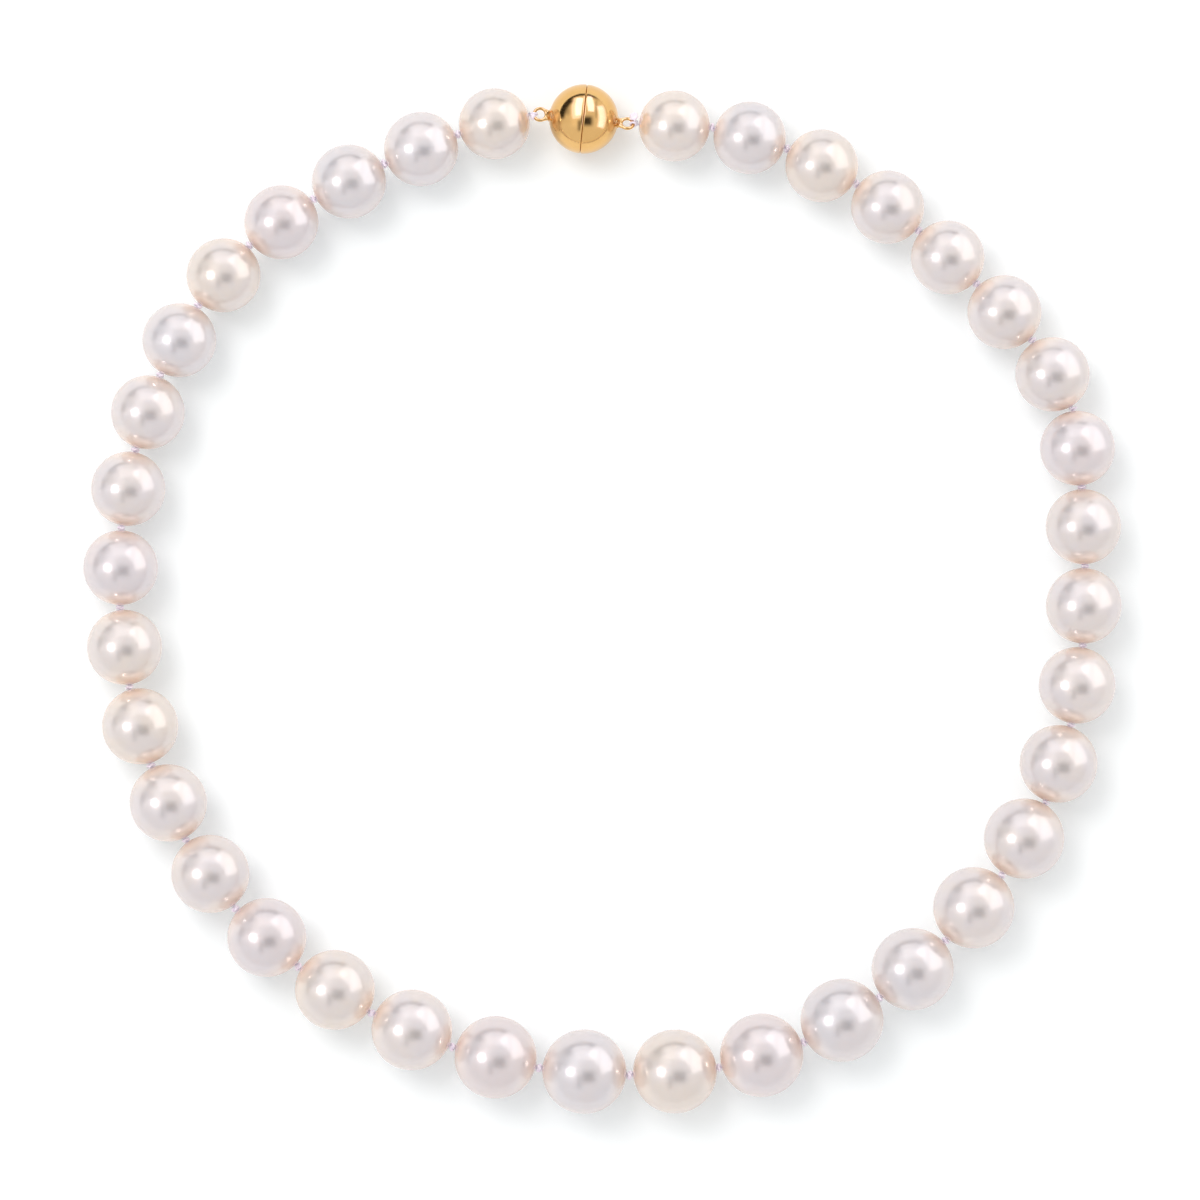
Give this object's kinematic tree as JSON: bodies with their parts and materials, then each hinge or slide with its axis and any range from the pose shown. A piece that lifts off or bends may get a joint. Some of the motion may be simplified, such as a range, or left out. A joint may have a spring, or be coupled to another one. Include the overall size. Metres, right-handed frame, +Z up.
{
  "type": "pearl necklace",
  "caption": "Graduated pearl necklace, knotted on silk, with a magnetic gold ball clasp; lies closed in a ring and bends at every knot.",
  "frame": {"origin": "on the table under the middle of the closed necklace", "axes": "+Z up from the table; +Y from the middle of the strand towards the clasp; +X to the right, seen from above with the clasp at the top"},
  "size_m": [0.1766, 0.175, 0.0144],
  "materials": {
    "pearl": "gloss",
    "silk": "matte",
    "gold": "polished",
    "magnet": "satin"
  },
  "bodies": {
    "pearl_19": {"pearl_19": "pearl", "silk_thread": "silk"},
    "pearl_01": {"pearl_01": "pearl"},
    "pearl_02": {"pearl_02": "pearl"},
    "pearl_03": {"pearl_03": "pearl"},
    "pearl_04": {"pearl_04": "pearl"},
    "pearl_05": {"pearl_05": "pearl"},
    "pearl_06": {"pearl_06": "pearl"},
    "pearl_07": {"pearl_07": "pearl"},
    "pearl_08": {"pearl_08": "pearl"},
    "pearl_09": {"pearl_09": "pearl"},
    "pearl_10": {"pearl_10": "pearl"},
    "pearl_11": {"pearl_11": "pearl"},
    "pearl_12": {"pearl_12": "pearl"},
    "pearl_13": {"pearl_13": "pearl"},
    "pearl_14": {"pearl_14": "pearl"},
    "pearl_15": {"pearl_15": "pearl"},
    "pearl_16": {"pearl_16": "pearl"},
    "pearl_17": {"pearl_17": "pearl"},
    "pearl_18": {"pearl_18": "pearl"},
    "pearl_20": {"pearl_20": "pearl"},
    "pearl_21": {"pearl_21": "pearl"},
    "pearl_22": {"pearl_22": "pearl"},
    "pearl_23": {"pearl_23": "pearl"},
    "pearl_24": {"pearl_24": "pearl"},
    "pearl_25": {"pearl_25": "pearl"},
    "pearl_26": {"pearl_26": "pearl"},
    "pearl_27": {"pearl_27": "pearl"},
    "pearl_28": {"pearl_28": "pearl"},
    "pearl_29": {"pearl_29": "pearl"},
    "pearl_30": {"pearl_30": "pearl"},
    "pearl_31": {"pearl_31": "pearl"},
    "pearl_32": {"pearl_32": "pearl"},
    "pearl_33": {"pearl_33": "pearl"},
    "pearl_34": {"pearl_34": "pearl"},
    "pearl_35": {"pearl_35": "pearl"},
    "pearl_36": {"pearl_36": "pearl"},
    "clasp_half_right": {"clasp_shell_right": "gold", "clasp_face_right": "gold", "magnet_right": "magnet", "clasp_ring_right": "gold"},
    "clasp_half_left": {"clasp_shell_left": "gold", "clasp_face_left": "gold", "magnet_left": "magnet", "clasp_ring_left": "gold"}
  },
  "joints": [
    {"name": "knot_18_swing", "type": "hinge", "parent": "pearl_19", "child": "pearl_18", "pos_m": [0.00465, -0.08094, 0.00718], "axis": [0.0001, 0, -1], "range_deg": [0, 15], "deforming": ["silk_thread"]},
    {"name": "knot_17_swing", "type": "hinge", "parent": "pearl_18", "child": "pearl_17", "pos_m": [0.01985, -0.07967, 0.00715], "axis": [0.0001, 0, -1], "range_deg": [0, 15], "deforming": ["silk_thread"]},
    {"name": "knot_16_swing", "type": "hinge", "parent": "pearl_17", "child": "pearl_16", "pos_m": [0.03427, -0.07541, 0.00712], "axis": [0.0001, 0, -1], "range_deg": [0, 15], "deforming": ["silk_thread"]},
    {"name": "knot_15_fold", "type": "hinge", "parent": "pearl_16", "child": "pearl_15", "pos_m": [0.04716, -0.06781, 0.00706], "axis": [0.9986, -0.0535, 0.0027], "range_deg": [-24, 24], "deforming": ["silk_thread"]},
    {"name": "knot_14_swing", "type": "hinge", "parent": "pearl_15", "child": "pearl_14", "pos_m": [0.05829, -0.05802, 0.00699], "axis": [0.0001, 0, -1], "range_deg": [0, 15], "deforming": ["silk_thread"]},
    {"name": "knot_13_fold", "type": "hinge", "parent": "pearl_14", "child": "pearl_13", "pos_m": [0.06793, -0.04696, 0.00691], "axis": [0.9991, -0.0427, 0.0018], "range_deg": [-24, 24], "deforming": ["silk_thread"]},
    {"name": "knot_12_swing", "type": "hinge", "parent": "pearl_13", "child": "pearl_12", "pos_m": [0.07536, -0.03461, 0.00676], "axis": [0.0001, 0, -1], "range_deg": [0, 15], "deforming": ["silk_thread"]},
    {"name": "knot_11_fold", "type": "hinge", "parent": "pearl_12", "child": "pearl_11", "pos_m": [0.07972, -0.02147, 0.00661], "axis": [0.9992, -0.0404, 0.0008], "range_deg": [-24, 24], "deforming": ["silk_thread"]},
    {"name": "knot_10_swing", "type": "hinge", "parent": "pearl_11", "child": "pearl_10", "pos_m": [0.08168, -0.00793, 0.00652], "axis": [0.0001, 0, -1], "range_deg": [0, 15], "deforming": ["silk_thread"]},
    {"name": "knot_09_fold", "type": "hinge", "parent": "pearl_10", "child": "pearl_09", "pos_m": [0.08199, 0.00556, 0.00646], "axis": [0.9992, -0.0397, 0.0005], "range_deg": [-24, 24], "deforming": ["silk_thread"]},
    {"name": "knot_08_swing", "type": "hinge", "parent": "pearl_09", "child": "pearl_08", "pos_m": [0.08156, 0.01899, 0.00642], "axis": [0.0001, 0, -1], "range_deg": [0, 15], "deforming": ["silk_thread"]},
    {"name": "knot_07_fold", "type": "hinge", "parent": "pearl_08", "child": "pearl_07", "pos_m": [0.07997, 0.03236, 0.00639], "axis": [0.9993, -0.0367, 0.0004], "range_deg": [-24, 24], "deforming": ["silk_thread"]},
    {"name": "knot_06_swing", "type": "hinge", "parent": "pearl_07", "child": "pearl_06", "pos_m": [0.07309, 0.04399, 0.00635], "axis": [0.0001, 0, -1], "range_deg": [0, 15], "deforming": ["silk_thread"]},
    {"name": "knot_05_fold", "type": "hinge", "parent": "pearl_06", "child": "pearl_05", "pos_m": [0.06362, 0.05352, 0.00632], "axis": [0.9986, -0.0534, -0.0002], "range_deg": [-24, 24], "deforming": ["silk_thread"]},
    {"name": "knot_04_swing", "type": "hinge", "parent": "pearl_05", "child": "pearl_04", "pos_m": [0.05378, 0.06257, 0.00628], "axis": [0.0001, 0, -1], "range_deg": [0, 15], "deforming": ["silk_thread"]},
    {"name": "knot_03_swing", "type": "hinge", "parent": "pearl_04", "child": "pearl_03", "pos_m": [0.04319, 0.07063, 0.00625], "axis": [0.0001, 0, -1], "range_deg": [0, 15], "deforming": ["silk_thread"]},
    {"name": "knot_02_swing", "type": "hinge", "parent": "pearl_03", "child": "pearl_02", "pos_m": [0.03139, 0.07663, 0.00622], "axis": [0.0001, 0, -1], "range_deg": [0, 15], "deforming": ["silk_thread"]},
    {"name": "knot_01_swing", "type": "hinge", "parent": "pearl_02", "child": "pearl_01", "pos_m": [0.0187, 0.08014, 0.00614], "axis": [0.0001, 0, -1], "range_deg": [0, 15], "deforming": ["silk_thread"]},
    {"name": "clasp_spin", "type": "hinge", "parent": "pearl_01", "child": "clasp_half_right", "pos_m": [0.00579, 0.08067, 0.0059], "axis": [0.9945, -0.1045, 0], "continuous": true, "deforming": ["silk_thread"]},
    {"name": "knot_19_swing", "type": "hinge", "parent": "pearl_19", "child": "pearl_20", "pos_m": [-0.01077, -0.07969, 0.00713], "axis": [-0.0001, 0, 1], "range_deg": [0, 15], "deforming": ["silk_thread"]},
    {"name": "knot_20_swing", "type": "hinge", "parent": "pearl_20", "child": "pearl_21", "pos_m": [-0.02551, -0.07611, 0.00698], "axis": [-0.0001, 0, 1], "range_deg": [0, 15], "deforming": ["silk_thread"]},
    {"name": "knot_21_swing", "type": "hinge", "parent": "pearl_21", "child": "pearl_22", "pos_m": [-0.03924, -0.07039, 0.00687], "axis": [-0.0001, 0, 1], "range_deg": [0, 15], "deforming": ["silk_thread"]},
    {"name": "knot_22_fold", "type": "hinge", "parent": "pearl_22", "child": "pearl_23", "pos_m": [-0.05169, -0.06251, 0.0068], "axis": [0.9986, -0.0535, 0.0027], "range_deg": [-24, 24], "deforming": ["silk_thread"]},
    {"name": "knot_23_swing", "type": "hinge", "parent": "pearl_23", "child": "pearl_24", "pos_m": [-0.06238, -0.05258, 0.00673], "axis": [-0.0001, 0, 1], "range_deg": [0, 15], "deforming": ["silk_thread"]},
    {"name": "knot_24_fold", "type": "hinge", "parent": "pearl_24", "child": "pearl_25", "pos_m": [-0.07082, -0.04103, 0.00666], "axis": [0.9991, -0.0427, 0.0018], "range_deg": [-24, 24], "deforming": ["silk_thread"]},
    {"name": "knot_25_swing", "type": "hinge", "parent": "pearl_25", "child": "pearl_26", "pos_m": [-0.07674, -0.02832, 0.00658], "axis": [-0.0001, 0, 1], "range_deg": [0, 15], "deforming": ["silk_thread"]},
    {"name": "knot_26_fold", "type": "hinge", "parent": "pearl_26", "child": "pearl_27", "pos_m": [-0.0804, -0.01499, 0.00647], "axis": [0.9992, -0.0404, 0.0008], "range_deg": [-24, 24], "deforming": ["silk_thread"]},
    {"name": "knot_27_swing", "type": "hinge", "parent": "pearl_27", "child": "pearl_28", "pos_m": [-0.08206, -0.00147, 0.00641], "axis": [-0.0001, 0, 1], "range_deg": [0, 15], "deforming": ["silk_thread"]},
    {"name": "knot_28_fold", "type": "hinge", "parent": "pearl_28", "child": "pearl_29", "pos_m": [-0.08177, 0.01208, 0.00637], "axis": [0.9992, -0.0397, 0.0005], "range_deg": [-24, 24], "deforming": ["silk_thread"]},
    {"name": "knot_29_swing", "type": "hinge", "parent": "pearl_29", "child": "pearl_30", "pos_m": [-0.07945, 0.02536, 0.00634], "axis": [-0.0001, 0, 1], "range_deg": [0, 15], "deforming": ["silk_thread"]},
    {"name": "knot_30_fold", "type": "hinge", "parent": "pearl_30", "child": "pearl_31", "pos_m": [-0.07512, 0.03806, 0.00633], "axis": [0.9993, -0.0367, 0.0004], "range_deg": [-24, 24], "deforming": ["silk_thread"]},
    {"name": "knot_31_swing", "type": "hinge", "parent": "pearl_31", "child": "pearl_32", "pos_m": [-0.06875, 0.04989, 0.00633], "axis": [-0.0001, 0, 1], "range_deg": [0, 15], "deforming": ["silk_thread"]},
    {"name": "knot_32_fold", "type": "hinge", "parent": "pearl_32", "child": "pearl_33", "pos_m": [-0.06005, 0.06013, 0.00634], "axis": [0.9986, -0.0534, -0.0002], "range_deg": [-24, 24], "deforming": ["silk_thread"]},
    {"name": "knot_33_swing", "type": "hinge", "parent": "pearl_33", "child": "pearl_34", "pos_m": [-0.0491, 0.06793, 0.00634], "axis": [-0.0001, 0, 1], "range_deg": [0, 15], "deforming": ["silk_thread"]},
    {"name": "knot_34_swing", "type": "hinge", "parent": "pearl_34", "child": "pearl_35", "pos_m": [-0.03705, 0.07394, 0.00635], "axis": [-0.0001, 0, 1], "range_deg": [0, 15], "deforming": ["silk_thread"]},
    {"name": "knot_35_swing", "type": "hinge", "parent": "pearl_35", "child": "pearl_36", "pos_m": [-0.02458, 0.07902, 0.00621], "axis": [-0.0001, 0, 1], "range_deg": [0, 15], "deforming": ["silk_thread"]},
    {"name": "knot_36_swing", "type": "hinge", "parent": "pearl_36", "child": "clasp_half_left", "pos_m": [-0.01215, 0.08256, 0.0059], "axis": [-0.0001, 0, 1], "range_deg": [0, 15], "deforming": ["silk_thread"]}
  ],
  "couplings": [
    {"joint": "knot_17_swing", "follows": "knot_18_swing", "ratio": 1},
    {"joint": "knot_16_swing", "follows": "knot_18_swing", "ratio": 1},
    {"joint": "knot_14_swing", "follows": "knot_18_swing", "ratio": 1},
    {"joint": "knot_12_swing", "follows": "knot_18_swing", "ratio": 1},
    {"joint": "knot_10_swing", "follows": "knot_18_swing", "ratio": 1},
    {"joint": "knot_08_swing", "follows": "knot_18_swing", "ratio": 1},
    {"joint": "knot_06_swing", "follows": "knot_18_swing", "ratio": 1},
    {"joint": "knot_04_swing", "follows": "knot_18_swing", "ratio": 1},
    {"joint": "knot_03_swing", "follows": "knot_18_swing", "ratio": 1},
    {"joint": "knot_02_swing", "follows": "knot_18_swing", "ratio": 1},
    {"joint": "knot_01_swing", "follows": "knot_18_swing", "ratio": 1},
    {"joint": "knot_20_swing", "follows": "knot_19_swing", "ratio": 1},
    {"joint": "knot_21_swing", "follows": "knot_19_swing", "ratio": 1},
    {"joint": "knot_23_swing", "follows": "knot_19_swing", "ratio": 1},
    {"joint": "knot_25_swing", "follows": "knot_19_swing", "ratio": 1},
    {"joint": "knot_27_swing", "follows": "knot_19_swing", "ratio": 1},
    {"joint": "knot_29_swing", "follows": "knot_19_swing", "ratio": 1},
    {"joint": "knot_31_swing", "follows": "knot_19_swing", "ratio": 1},
    {"joint": "knot_33_swing", "follows": "knot_19_swing", "ratio": 1},
    {"joint": "knot_34_swing", "follows": "knot_19_swing", "ratio": 1},
    {"joint": "knot_35_swing", "follows": "knot_19_swing", "ratio": 1},
    {"joint": "knot_36_swing", "follows": "knot_19_swing", "ratio": 1},
    {"joint": "knot_13_fold", "follows": "knot_15_fold", "ratio": 1},
    {"joint": "knot_11_fold", "follows": "knot_15_fold", "ratio": 1},
    {"joint": "knot_09_fold", "follows": "knot_15_fold", "ratio": 1},
    {"joint": "knot_07_fold", "follows": "knot_15_fold", "ratio": 1},
    {"joint": "knot_05_fold", "follows": "knot_15_fold", "ratio": 1},
    {"joint": "knot_22_fold", "follows": "knot_15_fold", "ratio": 1},
    {"joint": "knot_24_fold", "follows": "knot_15_fold", "ratio": 1},
    {"joint": "knot_26_fold", "follows": "knot_15_fold", "ratio": 1},
    {"joint": "knot_28_fold", "follows": "knot_15_fold", "ratio": 1},
    {"joint": "knot_30_fold", "follows": "knot_15_fold", "ratio": 1},
    {"joint": "knot_32_fold", "follows": "knot_15_fold", "ratio": 1}
  ]
}
